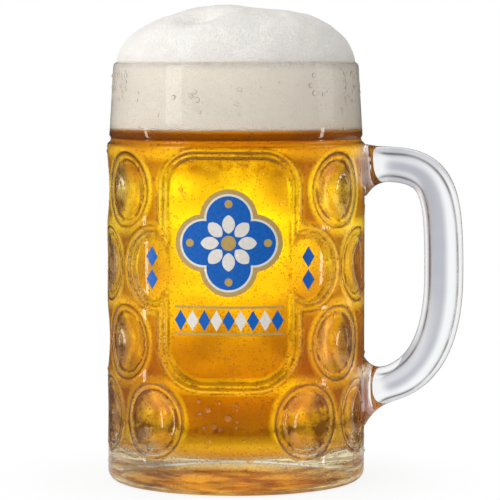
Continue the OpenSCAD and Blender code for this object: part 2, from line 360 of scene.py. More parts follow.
def insideLine(top, outset, steps):  # from the middle of the floor up the wall
    f = wallForm
    start = floorHeight + f["floorFillet"]
    centre = (innerRadius(start) - f["floorFillet"], start)
    line = [(0, floorHeight - outset)]
    line += lineTo(line[-1], (centre[0], floorHeight - outset), 3)[:-1]
    line += arcRound(centre, f["floorFillet"] + outset, -90, 0, 8)
    line += lineTo(line[-1], (innerRadius(top) + outset, top), steps)
    return line


def wallProfile():
    f = wallForm
    line = outsideLine()
    line += lineTo(line[-1], (f["rimRadius"], lipHeight), 5)[:-1]
    line += arcRound((f["mouthRadius"] + f["lipRadius"], lipHeight), f["lipRadius"], 0, 180, 8)
    line += lineTo(line[-1], (innerRadius(beerLine), beerLine), 3)
    line += list(reversed(insideLine(beerLine, 0, 6)))[1:]
    return line


dimpleSizes = {
    "Body Radius": bodyRadius,
    "Base Band": 14.5 * mm,
    "Row Pitch": 33.025 * mm,
    "Rows": 4,
    "Place Angle": 36,
    "Half Width": 15.707 * mm,
    "Half Height": 16.5125 * mm,
    "Slope Depth": 2.4 * mm,
    "Bowl Depth": 4.2 * mm,
    "Bowl Share": 0.8,
    "Edge Softness": 0.18 * mm,
    "Handle Angle": 90,
    "Land Half Width": 12.05 * mm,
    "Land Inside": 0.3 * mm,
    "Land Outside": 0.6 * mm,
    "Panel Half Width": 29.08 * mm,
    "Panel Bottom": 46.125 * mm,
    "Panel Top": 146.6 * mm,
    "Top Corner": 15 * mm,
    "Foot Corner": 18 * mm,
    "Lobe Offset": 33.5 * mm,
    "Lobe Height": 97.06 * mm,
    "Lobe Half Width": 11.28 * mm,
    "Lobe Half Height": 16.51 * mm,
    "Lobe Blend": 2 * mm,
    "Step Width": 2.2 * mm,
    "Step Depth": 0.8 * mm,
    "Panel Depth": 1.8 * mm,
    "Step Softness": 0.4 * mm,
    "Mould Wave": 0.06 * mm,
}


# Place within the nearest dimple, from -1 to 1 across and up, and 1 where it is pressed
def dimpleAt(size, angle, height, across):
    row = (height - size["Base Band"]) / size["Row Pitch"]
    row = row.math("FLOOR", row)
    inRows = (row > -0.5) * (row < size["Rows"] - 0.5)
    turn = row.math("FLOORED_MODULO", row, 2.0) * size["Place Angle"] * 0.5
    place = (angle - turn) / size["Place Angle"]
    place = place.math("ROUND", place) * size["Place Angle"] + turn
    u = (angle - place) * (math.pi / 180) * size["Body Radius"] / size["Half Width"]
    v = (height - size["Base Band"] - (row + 0.5) * size["Row Pitch"]) / size["Half Height"]
    quarter = size["Place Angle"] * 0.25
    fromHandle = abs(place - size["Handle Angle"])
    underPanel = (abs(place) < size["Place Angle"] * 1.25) * (row > 0.5)
    taken = larger(larger(abs(place) < quarter, underPanel), fromHandle < quarter)
    besideHandle = fromHandle < size["Place Angle"]
    landEdge = size["Land Half Width"]
    land = 1 - abs(across).rise(landEdge - size["Land Inside"], landEdge + size["Land Outside"])
    return u, v, inRows * (1 - taken) * (1 - besideHandle * land)


def dimpleSink(size, angle, height, across):
    u, v, pressed = dimpleAt(size, angle, height, across)
    spread = u * u + v * v
    slope = size["Slope Depth"] * (1 - spread)
    bowl = size["Bowl Depth"] * (1 - spread / (size["Bowl Share"] * size["Bowl Share"]))
    return larger(larger(slope, bowl, size["Edge Softness"]), 0.0, size["Edge Softness"]) * pressed


# Distance to the outline of the front panel, negative inside
def panelEdge(size, side, front, height):
    middle = (size["Panel Bottom"] + size["Panel Top"]) * 0.5
    rise = height - middle
    corner = size["Foot Corner"] + (size["Top Corner"] - size["Foot Corner"]) * (rise > 0.0)
    qx = abs(side) - size["Panel Half Width"] + corner
    qz = abs(rise) - (size["Panel Top"] - size["Panel Bottom"]) * 0.5 + corner
    ox = larger(qx, 0.0)
    oz = larger(qz, 0.0)
    plate = root(ox * ox + oz * oz) + smaller(larger(qx, qz), 0.0) - corner
    ex = (abs(side) - size["Lobe Offset"]) / size["Lobe Half Width"]
    ez = (height - size["Lobe Height"]) / size["Lobe Half Height"]
    reach = root(ex * ex + ez * ez)
    gx = ex / size["Lobe Half Width"]
    gz = ez / size["Lobe Half Height"]
    lobe = reach * (reach - 1) / larger(root(gx * gx + gz * gz), 1.0)
    return smaller(plate, lobe, size["Lobe Blend"]) + (front < 0.0) * 1.0


def panelSink(size, side, front, height):
    edge = panelEdge(size, side, front, height)
    soft = size["Step Softness"]
    step = (1 - edge.rise(soft * -1, soft)) * size["Step Depth"]
    floorDepth = size["Panel Depth"] - size["Step Depth"]
    floor = (1 - (edge + size["Step Width"]).rise(soft * -1, soft)) * floorDepth
    return step + floor


# Glass: clear and fire-polished, faintly wavy from the mould
glassFinish = dict(
    bend=1.5,
    wave=38,
    waveStrength=0.35,
    smear=60,
    smearRough=0.035,
    bead=0.7 * mm,
    beadHeight=0.36 * mm,
    # Colours of painted shade and painted reflection: light and deep amber shade, and gold reflection on
    # the foot
    softShade=(0.28, 0.12, 0.03, 1),
    deepToneAndShade=(0.07, 0.008, 0.0, 1),
    gold=(1.0, 0.88, 0.34, 1),
    deepest=0.95,
    mist=45,
    dew=900,
    dewHeight=0.18 * mm,
    # How dark the painted shade round each dew drop is, and the colour of the handle's painted shade lines
    dewShade=0.7,
    barShade=(0.035, 0.013, 0.002, 1),
)

# Where painted shade and painted reflection go on the pressed glass: amber shade where the relief darkens
# the beer seen through it, gold reflection of the beer on the foot
# Lines: offset, width, strength. Patches: scale, roughness, from, to. The rest: from, to
paintedShadeAndReflection = dict(
    cloud=(170, 0.7, 0.38, 0.6),
    full=(floorHeight - 2 * mm, floorHeight + 3 * mm),
    beerEdge=(beerLine - 2 * mm, beerLine),
    bowlFrom=(0.2, 0.6),
    bowlTo=(0.8, 0.9),
    outwardSide=(0.0, 0.5),
    inwardSide=(0.2, 0.65),
    rimLine=(-0.3 * mm, 0.7 * mm, 0.9),
    bowlLine=(0.0, 0.7 * mm, 0.85),
    panelLine=(2 * mm, 0.8 * mm, 0.85),
    panelInnerLine=(-0.8 * mm, 0.8 * mm, 0.9),
    stepLine=(-0.9 * mm, 0.9 * mm, 0.75),
    floorLine=(28.3 * mm, 1.8 * mm, 0.8),
    plainFrom=(0.8 * mm, 3.5 * mm),
    rowEdge=(0.7, 1.0),
    overBase=(21 * mm, 27 * mm),
    shoulder=(147 * mm, 149.5 * mm),
    panelLow=(48 * mm, 105 * mm),
    panelHigh=(128 * mm, 143 * mm),
    panelSide=(-3 * mm, 0),
    foot=(11 * mm, 14 * mm),
    footReflection=(10 * mm, 13 * mm),
    stretch=(1, 1, 8),
    streakShade=(48, 0.6, 0.42, 0.6),
    darkStreaks=(75, 0.65, 0.5, 0.66),
    sideStreaks=(60, 0.65, 0.5, 0.6),
    darkStrength=0.75,
    besideFrom=(0.5, 0.75),
    besideBand=(18 * mm, 6 * mm),
)


def hump(distance, width):  # 1 at no distance, falling off within the width
    share = distance / width
    return share.math("EXPONENT", share * share * -1)


def lineAt(distance, offset, width, strength):
    return hump(distance - offset, width) * strength


def patches(place, scale, rough, low, high):
    return noiseAt(place, scale, 4, rough).rise(low, high)


# Tones of the thick base: painted reflection of the beer in gold, painted shade in amber streaks and in
# dark streaks, with more dark streaks towards the left and right sides
def baseTones(place, x, z):
    a = paintedShadeAndReflection
    foot = 1 - z.rise(*a["foot"])
    stretched = place.node("ShaderNodeMapping", None, {"Vector": place, "Scale": a["stretch"]})
    streakShade = (0.35 + 0.65 * patches(stretched, *a["streakShade"])) * foot
    dark = patches(stretched, *a["darkStreaks"]) * foot * a["darkStrength"]
    # Painted shade: more dark streaks at the left and right of the base, in a band about 18 mm up
    bandHeight, bandWidth = a["besideBand"]
    beside = (abs(x) / bodyRadius).rise(*a["besideFrom"]) * hump(z - bandHeight, bandWidth)
    dark = dark + patches(stretched, *a["sideStreaks"]) * beside * a["darkStrength"]
    return 1 - z.rise(*a["footReflection"]), streakShade, dark


# Fire-polished beads round the dimples and along the panel's step, and the amounts of painted reflection
# (gold), light painted shade and deep painted shade, and 1 where beer stands behind the glass
def moulded(place):
    a = paintedShadeAndReflection
    d = dimpleSizes
    x, y, z = split(place)
    front = y * -1
    angle = x.math("ARCTAN2", x, front) * (180 / math.pi)
    u, v, pressed = dimpleAt(d, angle, z, front)
    pitch = math.radians(d["Place Angle"]) * bodyRadius / d["Half Width"]
    reach = root(u * u + v * v)
    rim = (reach - 1) * d["Half Width"]
    inner = (reach - d["Bowl Share"]) * d["Half Width"]
    edge = panelEdge(d, x, front, z)
    step = edge + d["Step Width"]
    full = z.rise(*a["full"]) * (1 - z.rise(*a["beerEdge"]))
    bead = glassFinish["bead"]
    beads = (hump(rim, bead) + hump(inner, bead)) * pressed
    beads = beads + hump(edge - bead, bead) + hump(step - bead, bead)
    # Deep painted shade: crescents inside each dimple, heavier on the side away from the panel, and dark
    # lines along the dimple rims and the panel's edges
    cloud = patches(place, *a["cloud"])
    outward = u * x.math("SIGN", angle)
    bowl = (1 - reach.rise(*a["bowlTo"])) * reach.rise(*a["bowlFrom"])
    shade = outward.rise(*a["outwardSide"]) * (0.5 + 0.5 * cloud)
    shade = shade + (outward * -1).rise(*a["inwardSide"]) * (0.2 + 0.6 * cloud)
    creases = lineAt(rim, *a["rimLine"]) + lineAt(inner, *a["bowlLine"]) * cloud
    sides = lineAt(edge, *a["panelLine"]) + lineAt(edge, *a["panelInnerLine"])
    sides = (sides + lineAt(step, *a["stepLine"])) * (0.4 + 0.6 * cloud)
    gap = pitch - abs(u)  # to the next dimple round the wall
    nextRim = (root(gap * gap + v * v) - 1) * d["Half Width"]
    away = smaller(rim * pressed + nextRim * (1 - pressed), edge)
    # Light painted shade on the plain glass between dimples and over the shoulder, and on the panel low
    # down and high up
    plain = away.rise(*a["plainFrom"]) * (1 - abs(v).rise(*a["rowEdge"]))
    plain = larger(plain * z.rise(*a["overBase"]), z.rise(*a["shoulder"]))
    low = 1 - z.rise(*a["panelLow"])
    high = z.rise(*a["panelHigh"]) * (0.45 + 0.55 * cloud)
    panel = (1 - step.rise(*a["panelSide"])) * larger(low, high)
    # A painted dark line at the height where the inside floor is seen through the wall
    floorEdge = lineAt(z, *a["floorLine"]) * cloud
    gold, streakShade, dark = baseTones(place, x, z)
    deepToneAndShade = ((bowl * shade + creases) * pressed + sides + floorEdge) * full + dark
    deepToneAndShade = smaller(deepToneAndShade, glassFinish["deepest"])
    return beads, gold, larger(larger(plain, panel) * full, streakShade), deepToneAndShade, full


# The second result is a ring round each dome's edge, used for painted shade
def fineBeads(place, scale, share):  # domes of water in some of the cells
    cell = place.node("ShaderNodeTexVoronoi", None, {"Vector": place, "Scale": scale}, output="Distance")
    chance = cell.node("ShaderNodeSeparateColor", None, {"Color": cell.also("Color")})
    inside = larger(1 - cell / (0.2 + 0.25 * chance), 0.0)
    there = chance.also("Green") < share
    return root(inside) * there, inside.rise(0.0, 0.15) * (1 - inside.rise(0.35, 0.6)) * there


# Painted shade on the handle: dark amber lines along the corners of the bar and along its middle line on
# the outer and inner faces
barContourShade = dict(
    cloud=90,
    corner=6.6 * mm,
    cornerLine=0.55 * mm,
    gripWider=0.8 * mm,
    gripFrom=(bodyRadius + 18 * mm, bodyRadius + 36 * mm),
    middleShadeLine=(0.0, 1.1 * mm, 0.95),
    padFrom=(bodyRadius + 4 * mm, bodyRadius + 9 * mm),
)


def barShadeLines(place):
    b = barContourShade
    x, y, _ = split(place)
    cloud = noiseAt(place, b["cloud"], 3).rise(0.3, 0.6)
    along = b["corner"] + b["gripWider"] * x.rise(*b["gripFrom"])
    corner = hump(abs(y) - along, b["cornerLine"]) * (0.7 + 0.28 * cloud)
    # A painted dark line along the bar's middle line
    middleShade = lineAt(y, *b["middleShadeLine"])
    return larger(corner, middleShade) * x.rise(*b["padFrom"])


def clearGlass(name, pressed=False):
    g = glassFinish
    material, shader, wire, place = newMaterial(name)
    wave = noiseAt(place, g["wave"], 2)
    normal = bumpFrom(wave, g["waveStrength"], 1 * mm)
    colour = (1, 1, 1, 1)
    if pressed:
        beads, gold, softShade, deepToneAndShade, full = moulded(place)
        normal = bumpFrom(beads, 1.0, g["beadHeight"], normal)
        misted = noiseAt(place, g["mist"], 3).rise(0.3, 0.6)
        # Dew: water domes as bumps, with painted shade round the rim of each
        dew, dewEdge = fineBeads(place, g["dew"], 0.25 + 0.5 * misted)
        deepToneAndShade = smaller(deepToneAndShade + dewEdge * full * g["dewShade"], g["deepest"])
        normal = bumpFrom(dew, 1.0, g["dewHeight"], normal)
        # Painted gold reflection on the foot, then light and deep painted shade
        colour = blendColours(gold, colour, g["gold"])
        colour = blendColours(softShade, colour, g["softShade"])
        colour = blendColours(deepToneAndShade, colour, g["deepToneAndShade"])
    else:
        # Painted shade lines along the handle
        colour = blendColours(barShadeLines(place), colour, g["barShade"])
    smear = noiseAt(place, g["smear"], 4).rise(0.45, 0.8)
    rough = smear * g["smearRough"]
    clearShader(wire, shader, g["bend"], colour, rough, Normal=normal)
    return material


# Where beer wets the glass: bends light by glass to beer, so that the beer's own skin bends none
def wettedGlass():
    material, shader, wire, _ = newMaterial("wetted_glass")
    clearShader(wire, shader, glassFinish["bend"] / beerFinish["bend"], rough=beerFinish["haze"])
    return material


# Beer: clear gold that deepens with the path of the light
beerFinish = dict(
    colour=(0.993, 0.932, 0.06, 1),
    density=66.0,
    bend=1.33,
    haze=0.5,
    # Painted light and shade on the beer's skin by height, from the floor to the beer line: darker low down
    # and just under the foam, lightest at four fifths of the height
    paintedLightAndShade=(
        (0.0, (0.85, 0.75, 0.5, 1)),
        (0.1, (0.7, 0.53, 0.35, 1)),
        (0.3, (0.72, 0.56, 0.35, 1)),
        (0.55, (0.84, 0.78, 0.5, 1)),
        (0.8, (0.92, 0.99, 0.8, 1)),
        (0.9, (0.82, 0.78, 0.5, 1)),
        (1.0, (0.8, 0.45, 0.25, 1)),
    ),
)


def clearBeer():
    material, shader, wire, place = newMaterial("golden_beer")
    height = split(place)[2]
    share = (height - floorHeight) / (beerLine - floorHeight)
    # The skin carries painted light and shade by height
    clearShader(wire, shader, 1.0, ramp(share, beerFinish["paintedLightAndShade"]))
    dye = {"Color": beerFinish["colour"], "Density": beerFinish["density"]}
    depth = wire.node("ShaderNodeVolumeAbsorption", None, dye)
    wire.feed(material.node_tree.nodes["Material Output"], {"Volume": depth})
    return material


def bubbleFilm():
    material, shader, wire, _ = newMaterial("bubble_film")
    clearShader(wire, shader, beerFinish["bend"])
    return material


waterFinish = dict(
    bend=1.33,
    # Painted shade round the rim of each drop, dark at its foot, clear from over half way up
    rimShade=((0.0, (0.06, 0.034, 0.014, 1)), (0.3, (0.22, 0.15, 0.08, 1)), (0.6, (1, 1, 1, 1))),
)


# Water drops: clear on top, with painted shade round the rim that stands in for the light they bend away
def clearWater():
    material, shader, wire, _ = newMaterial("condensed_water")
    lift = wire.node("ShaderNodeAttribute", {"attribute_name": "lift"}, output="Fac")
    clearShader(wire, shader, waterFinish["bend"], ramp(lift, waterFinish["rimShade"]))
    return material


# Foam: dense and fine-pored with painted shade in its pores, damp where it stands behind the glass
foamFinish = dict(
    pale=(0.965, 0.94, 0.9, 1),
    deepToneAndShade=(0.92, 0.885, 0.83, 1),
    poreShade=(0.86, 0.83, 0.78, 1),
    wet=(0.93, 0.86, 0.76, 1),
    cloud=90,
    pores=1500,
    grain=2600,
    poreHeight=0.4 * mm,
    dryFrom=(rimHeight - 6 * mm, rimHeight + 4 * mm),
    rough=0.75,
    gloss=0.25,
    glow=0.15,
    glowReach=3 * mm,
    glowTone=(1.0, 0.8, 0.55),
)


def denseFoam():
    f = foamFinish
    material, shader, wire, place = newMaterial("dense_foam")
    cloud = noiseAt(place, f["cloud"], 5, 0.6)
    pores = wire.node("ShaderNodeTexVoronoi", None, {"Vector": place, "Scale": f["pores"]})
    grain = noiseAt(place, f["grain"], 2)
    cell = pores.rise(0.1, 0.6)
    tone = blendColours(cloud.rise(0.3, 0.75), f["deepToneAndShade"], f["pale"])
    # Painted shade in the pits of the pores
    tone = blendColours(1 - pores.rise(0.06, 0.3), tone, f["poreShade"])
    height = cell * 0.6 + grain * 0.4
    level = split(place)[2]
    dry = level.rise(*f["dryFrom"])
    wire.feed(shader, {
        "Base Color": blendColours(dry, f["wet"], tone),
        "Roughness": f["rough"],
        "Specular IOR Level": f["gloss"],
        "Subsurface Weight": f["glow"],
        "Subsurface Scale": f["glowReach"],
        "Subsurface Radius": f["glowTone"],
        "Normal": bumpFrom(height, 1.0, f["poreHeight"]),
    })
    return material


enamelFinish = dict(
    print_blue=dict(name="blue_enamel", colour=(0.001, 0.13, 0.55, 1), rough=0.22),
    print_white=dict(name="white_enamel", colour=(0.86, 0.82, 0.76, 1), rough=0.28),
    print_gold=dict(name="gold_enamel", colour=(0.62, 0.42, 0.13, 1), rough=0.3, metallic=0.1),
)
enamelSkin = dict(mottle=700, darker=0.9, rougher=0.12, grain=900, grainHeight=0.1 * mm)


# Fired enamel: even colour with a faint mottle, glossy
def firedEnamel(name, colour, rough, metallic=0.0):
    e = enamelSkin
    material, shader, wire, place = newMaterial(name)
    mottle = noiseAt(place, e["mottle"], 4, 0.6)
    darker = tuple(e["darker"] * part for part in colour[:3]) + (1,)
    wire.feed(shader, {
        "Base Color": blendColours(mottle.rise(0.35, 0.65), darker, colour),
        "Roughness": rough + e["rougher"] * mottle,
        "Metallic": metallic,
        "Normal": bumpFrom(noiseAt(place, e["grain"], 2), 0.05, e["grainHeight"]),
    })
    return material


glass = clearGlass("clear_glass")
pressedGlass = clearGlass("pressed_glass", True)
wetGlass = wettedGlass()
beerGold = clearBeer()
film = bubbleFilm()
water = clearWater()
froth = denseFoam()
for node, finish in enamelFinish.items():
    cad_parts[node].material_slots[0].material = firedEnamel(**finish)
print("materials made")


def growWall():
    f = wallForm
    profile = wallProfile()
    tree, size = startTree("pressedWall", dimpleSizes)
    source = size["Geometry"]
    grid = source.node("GeometryNodeMeshGrid", None, {
        "Size X": 360.0,
        "Size Y": float(len(profile) - 1),
        "Vertices X": f["segments"] + 1,
        "Vertices Y": len(profile),
    })
    spot = source.node("GeometryNodeInputPosition")
    flat, row, _ = split(spot)
    step = row + (len(profile) - 1) / 2
    sample = source.node("GeometryNodeSampleIndex", {"data_type": "FLOAT_VECTOR"}, {
        "Geometry": source,
        "Value": spot,
        "Index": step.math("ROUND", step),
    })
    radius, _, height = split(sample)
    turn = flat * (math.pi / 180)
    sine = turn.math("SINE", turn)
    cosine = turn.math("COSINE", turn)
    outside = radius > size["Body Radius"] * f["outerShare"]
    sink = larger(
        dimpleSink(size, flat, height, radius * cosine),
        panelSink(size, radius * sine, cosine, height),
    )
    bare = joined(radius * sine, radius * cosine * -1, height)
    wave = (noiseAt(bare, f["waveScale"], 1.0) - 0.5) * size["Mould Wave"]
    wave = wave * (1 - sink.rise(*f["calmFrom"]))  # none where a dimple is deep
    pressed = radius - outside * (sink + wave)
    place = joined(pressed * sine, pressed * cosine * -1, height)
    moved = passOn(grid, "SetPosition", Position=place)
    merged = passOn(moved, "MergeByDistance", Distance=doubles)
    x, y, z = split(spot)
    within = root(x * x + y * y) < size["Body Radius"] * f["innerShare"]
    wetted = within * (z > floorHeight * f["wetFrom"]) * (z < beerLine)
    endTree(merged, pressedGlass, (wetted, wetGlass))
    outline = bpy.data.meshes.new("wall_profile")
    outline.from_pydata([(r, 0, z) for r, z in profile], [], [])
    wall = newPiece("glass_wall", outline)
    growMesh(wall, tree, dimpleSizes)
    return wall


wall = growWall()


# Handle: a rounded bar along two cubic lines, flared into a pad at each end
handleForm = dict(
    rings=84,
    sides=72,
    top=139.4 * mm,
    foot=41 * mm,
    gripShare=0.51,
    topPull=0.93,
    topBow=0.09,
    gripPullUp=0.89,
    gripPullDown=1.03,
    footPull=0.2,
    bury=4 * mm,
    gripThickness=17.2 * mm,
    gripWidth=19 * mm,
    armThickness=15.4 * mm,
    armWidth=15.5 * mm,
    upperPadRise=1.8 * mm,
    lowerPadDrop=9.6 * mm,
    innerSpread=6 * mm,
    sideSpread=3 * mm,
    flare=15 * mm,
    flarePower=3.4,
    squareness=2.3,
    weld=0.35 * mm,
    cutSegments=240,
    sharpAngle=35,
)


def cubic(points, t):
    shares = ((1 - t) ** 3, 3 * t * (1 - t) ** 2, 3 * t * t * (1 - t), t ** 3)
    return sum((share * point for share, point in zip(shares, points)), Vector((0, 0)))


def signedPower(value, power):
    return math.copysign(abs(value) ** power, value)


def barRing(at, along, thickness, width, outerSpread):
    h = handleForm
    flare = max(0, 1 - max(0, at.x - bodyRadius) / h["flare"]) ** h["flarePower"]
    across = Vector((-along.y, along.x)).normalized()
    ring = []
    for i in range(h["sides"]):
        angle = 2 * math.pi * i / h["sides"]
        spread = outerSpread if math.cos(angle) > 0 else h["innerSpread"]
        reach = thickness / 2 + flare * spread
        u = signedPower(math.cos(angle), 2 / h["squareness"]) * reach
        v = signedPower(math.sin(angle), 2 / h["squareness"]) * (width / 2 + flare * h["sideSpread"])
        ring.append((at.x + across.x * u, v, at.y + across.y * u))
    return ring


def barRings(line, sizeFrom, sizeTo, outerSpread, last):
    h = handleForm
    rings = []
    for i in range(last + 1):
        t = i / h["rings"]
        step = 0.5 / h["rings"]
        size = sizeFrom + (sizeTo - sizeFrom) * t
        ease = size * size * (3 - 2 * size)
        along = cubic(line, min(1, t + step)) - cubic(line, max(0, t - step))
        thickness = h["armThickness"] + (h["gripThickness"] - h["armThickness"]) * ease
        width = h["armWidth"] + (h["gripWidth"] - h["armWidth"]) * ease
        rings.append(barRing(cubic(line, t), along, thickness, width, outerSpread))
    return rings


def growHandle():
    h = handleForm
    gripX = handleBox[1].x - h["gripThickness"] / 2
    gripZ = h["foot"] + h["gripShare"] * (h["top"] - h["foot"])
    reach = gripX - bodyRadius
    grip = Vector((gripX, gripZ))
    upper = [
        Vector((bodyRadius - h["bury"], h["top"])),
        Vector((bodyRadius + h["topPull"] * reach, h["top"] + h["topBow"] * reach)),
        Vector((gripX, gripZ + h["gripPullUp"] * (h["top"] - gripZ))),
        grip,
    ]
    lower = [
        grip,
        Vector((gripX, gripZ - h["gripPullDown"] * (gripZ - h["foot"]))),
        Vector((bodyRadius + h["footPull"] * reach, h["foot"])),
        Vector((bodyRadius - h["bury"], h["foot"])),
    ]
    rings = barRings(upper, 0, 1, h["upperPadRise"], h["rings"] - 1)
    rings += barRings(lower, 1, 0, h["lowerPadDrop"], h["rings"])
    bar = newPiece("glass_handle", meshFrom("bar", lambda shape: skinRings(shape, rings)))
    cutLine = [(max(r - h["weld"], 0), z) for r, z in outsideLine()]
    cutLine += [(wallForm["rimRadius"] - h["weld"], rimHeight), (0, rimHeight)]
    coreRings = turned(cutLine, h["cutSegments"])
    core = newPiece("core", meshFrom("core", lambda shape: skinRings(shape, coreRings, False)))
    cut = bar.modifiers.new("padCut", "BOOLEAN")
    cut.operation = "DIFFERENCE"
    cut.object = core
    cut.solver = "EXACT"
    welded = keepResult(bar, cut)
    bpy.data.objects.remove(core)
    shape = bmesh.new()
    shape.from_mesh(welded)
    shadeSmooth(shape, h["sharpAngle"])
    shape.to_mesh(welded)
    shape.free()
    welded.materials.clear()
    welded.materials.append(glass)
    print("handle made:", len(welded.polygons), "faces")
    return bar


handle = growHandle()


# Beer: fills the inside up to a hair's breadth from the glass
beerForm = dict(wallGap=0.04 * mm, segments=192, wallSteps=40, sharpAngle=40)
bubbleSizes = {
    "Bubbles": 5200.0,
    "Steepest": 0.5,
    "Smallest": 0.12 * mm,
    "Largest": 0.7 * mm,
    "Least Depth": 0.3 * mm,
    "Deepest": 9 * mm,
    "Seed": 4,
    "Size Seed": 11,
    "Depth Seed": 23,
}


def smallBall(source):  # few faces, because there are thousands of bubbles and drops
    return source.node("GeometryNodeMeshUVSphere", None, {"Radius": 1.0, "Segments": 8, "Rings": 6})


def chanceOf(seed):  # from 0 to 1, its own for each point
    return seed.node("FunctionNodeRandomValue", None, {"Seed": seed}, output=1)


def mostlySmall(size, chance):  # radius from the smallest to the largest, few of them large
    return size["Smallest"] + (size["Largest"] - size["Smallest"]) * chance.math("POWER", chance, 5.0)


def growBeer():
    b = beerForm
    rings = turned(insideLine(beerLine, -b["wallGap"], b["wallSteps"]) + [(0, beerLine)], b["segments"])
    mesh = meshFrom("beer_body", lambda shape: skinRings(shape, rings, False), b["sharpAngle"])
    tree, size = startTree("risingBubbles", bubbleSizes)
    source = size["Geometry"]
    normal = source.node("GeometryNodeInputNormal")
    tilt = split(normal)[2]
    points = source.node("GeometryNodeDistributePointsOnFaces", None, {
        "Mesh": source,
        "Selection": abs(tilt) < size["Steepest"],
        "Density": size["Bubbles"],
        "Seed": size["Seed"],
    })
    inward = points.also("Normal")
    radius = mostlySmall(size, chanceOf(size["Size Seed"]))
    sunk = chanceOf(size["Depth Seed"])
    depth = radius + size["Least Depth"] + sunk * sunk * size["Deepest"]
    shift = source.node("ShaderNodeVectorMath", {"operation": "SCALE"}, {0: inward, "Scale": depth * -1})
    placed = passOn(points, "SetPosition", Offset=shift)
    hollow = source.node("GeometryNodeFlipFaces", None, {"Mesh": smallBall(source)})
    bubbles = source.node("GeometryNodeInstanceOnPoints", None, {
        "Points": placed,
        "Instance": hollow,
        "Scale": radius,
    })
    solid = passOn(bubbles, "RealizeInstances")
    marked = source.node("GeometryNodeStoreNamedAttribute", {"data_type": "BOOLEAN", "domain": "FACE"}, {
        "Geometry": solid,
        "Name": "bubble",
        "Value": True,
    })
    both = passOn(source, "JoinGeometry")
    source.tree.links.new(marked.socket, both.socket.node.inputs[0])
    bubble = source.node("GeometryNodeInputNamedAttribute", {"data_type": "BOOLEAN"}, {"Name": "bubble"})
    endTree(both, beerGold, (bubble, film))
    beer = newPiece("beer_fill", mesh)
    growMesh(beer, tree, bubbleSizes)
    return beer


beer = growBeer()


# Foam head: stands on the beer, fills the mouth and domes over the lip
foamForm = dict(
    segments=220,
    footSteps=24,
    lipSteps=8,
    domeSteps=70,
    overlap=0.22 * mm,
    sink=0.3 * mm,
    lap=0.7 * mm,
    fullness=2.1,
    lump=1.3 * mm,
    lumpScale=42,
    ripple=0.5 * mm,
    rippleScale=140,
    dentDepth=6.5 * mm,
    dentAt=(-14 * mm, -26 * mm),
    dentWide=8 * mm,
    calmOver=2.5 * mm,
    calmRise=8 * mm,
    settle=0.6,
)


def foamLine():
    f = foamForm
    lip = wallForm["lipRadius"]
    lipMiddle = (wallForm["mouthRadius"] + lip, lipHeight)
    edgeAngle = math.degrees(math.acos(f["lap"] / lip))
    bottom = beerLine - f["sink"]
    line = [(0, bottom)]
    line += lineTo(line[-1], (innerRadius(bottom) + f["overlap"], bottom), f["footSteps"])
    line += lineTo(line[-1], (wallForm["mouthRadius"] + f["overlap"], lipHeight), f["footSteps"])
    line += arcRound(lipMiddle, lip - f["overlap"], 180, edgeAngle, f["lipSteps"])[1:]
    edge = line[-1]
    top = foamBox[1].z
    for i in range(1, f["domeSteps"] + 1):
        angle = math.pi / 2 * i / f["domeSteps"]
        line.append((
            edge[0] * math.cos(angle) ** (2 / f["fullness"]) if i < f["domeSteps"] else 0,
            edge[1] + (top - edge[1]) * math.sin(angle) ** (2 / f["fullness"]),
        ))
    return line


def lumpFoam(vertex, normal):
    f = foamForm
    ease = min(1, max(0, (vertex.z - lipHeight - f["calmOver"]) / f["calmRise"]))  # even along the lip
    lump = noise.noise(vertex * f["lumpScale"]) * f["lump"]
    ripple = noise.noise(vertex * f["rippleScale"] + Vector((3, 7, 1))) * f["ripple"]
    away = (vertex.xy - Vector(f["dentAt"])).length / f["dentWide"]
    dent = f["dentDepth"] * math.exp(-away * away)
    return vertex + normal * (ease * (lump + ripple - f["lump"] * f["settle"]) - ease * dent)


def growFoam():
    f = foamForm
    mesh = meshFrom("foam", lambda shape: skinRings(shape, turned(foamLine(), f["segments"]), False))
    normals = [vertex.normal.copy() for vertex in mesh.vertices]
    for vertex, normal in zip(mesh.vertices, normals):
        vertex.co = lumpFoam(vertex.co.copy(), normal)
    mesh.materials.append(froth)
    print("foam made:", len(mesh.polygons), "faces")
    return newPiece("foam_dome", mesh)


foam = growFoam()


# Condensation: caps of water scattered over the outside of the glass
dropSizes = {
    "Drops": 60000.0,
    "Fewest": 0.25,
    "Patch Scale": 60.0,
    "Smallest": 0.28 * mm,
    "Largest": 0.95 * mm,
    "Flatness": 0.5,
    "Lowest": 8 * mm,
    "Highest": rimHeight - 4 * mm,
    "Outer Radius": bodyRadius * 0.9,
    "Seed": 7,
    "Size Seed": 5,
}

# Larger drops that have run together: between which angles and heights, how far in the glass lies there
runDrops = dict(
    sides=14,
    rows=5,
    sizes=(0.6, 1.1),
    zones=(
        dict(angles=(-14, 10), heights=(28, 43), inset=0, count=9, radius=1.5 * mm),
        dict(angles=(-27, -19), heights=(127, 137), inset=1.8 * mm, count=4, radius=1.2 * mm),
        dict(angles=(20, 26), heights=(122, 128), inset=1.8 * mm, count=2, radius=1.2 * mm),
        dict(angles=(-28, -9), heights=(167, 174), inset=2 * mm, count=5, radius=1.1 * mm),
        dict(angles=(34, 42), heights=(168, 180), inset=2.2 * mm, count=3, radius=1.3 * mm),
        dict(angles=(-82, -56), heights=(168, 181), inset=2.2 * mm, count=60, radius=0.75 * mm),
        dict(angles=(60, 80), heights=(168, 181), inset=2.2 * mm, count=34, radius=0.75 * mm),
    ),
)


